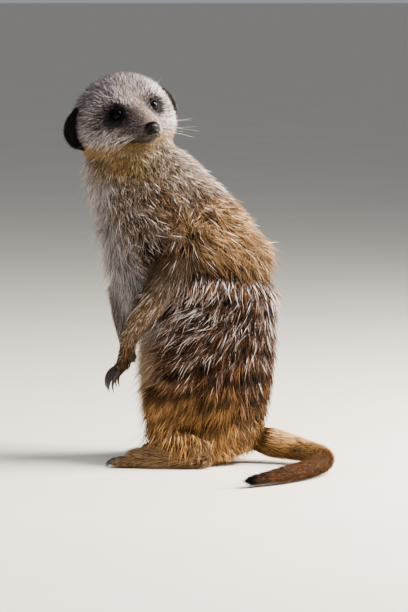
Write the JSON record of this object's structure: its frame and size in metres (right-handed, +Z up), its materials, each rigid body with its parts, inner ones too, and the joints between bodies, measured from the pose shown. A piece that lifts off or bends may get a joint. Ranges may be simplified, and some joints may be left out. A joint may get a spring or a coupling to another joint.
{
  "type": "animal model",
  "caption": "Life-size still model of a meerkat sitting upright on its haunches, head turned back over its left side, tail laid round on the ground.",
  "frame": {"origin": "middle of the bounding box on the ground, a little to the left of the animal's seat", "axes": "+Z up, the body sits facing -Y, +X to the animal's own left, the side its head is turned to"},
  "size_m": [0.1889, 0.2025, 0.2797],
  "materials": {
    "agouti_coat": "banded grey-brown fur",
    "pale_coat": "short silver-grey fur",
    "tan_coat": "golden tan fur",
    "black_coat": "very short black fur",
    "claw_horn": "smooth dark horn",
    "eye": "wet, dark brown",
    "nose_leather": "moist, fine-grained"
  },
  "bodies": {
    "root": {"ear_left": "black_coat", "ear_right": "black_coat", "eye_left": "eye", "eye_right": "eye", "foot_left": "tan_coat", "foot_right": "tan_coat", "fore_claw_left_1": "claw_horn", "fore_claw_left_2": "claw_horn", "fore_claw_left_3": "claw_horn", "fore_claw_left_4": "claw_horn", "fore_claw_right_1": "claw_horn", "fore_claw_right_2": "claw_horn", "fore_claw_right_3": "claw_horn", "fore_claw_right_4": "claw_horn", "forearm_left": "tan_coat", "forearm_right": "tan_coat", "forepaw_left": "tan_coat", "forepaw_right": "tan_coat", "head": "pale_coat", "hind_claw_left_1": "claw_horn", "hind_claw_left_2": "claw_horn", "hind_claw_left_3": "claw_horn", "hind_claw_left_4": "claw_horn", "hind_claw_right_1": "claw_horn", "hind_claw_right_2": "claw_horn", "hind_claw_right_3": "claw_horn", "hind_claw_right_4": "claw_horn", "neck": "pale_coat", "nose": "nose_leather", "shank_left": "tan_coat", "shank_right": "tan_coat", "tail_1": "tan_coat", "tail_2": "tan_coat", "tail_3": "tan_coat", "tail_4": "tan_coat", "thigh_left": "tan_coat", "thigh_right": "tan_coat", "trunk": "agouti_coat", "upper_arm_left": "tan_coat", "upper_arm_right": "tan_coat"}
  },
  "joints": []
}
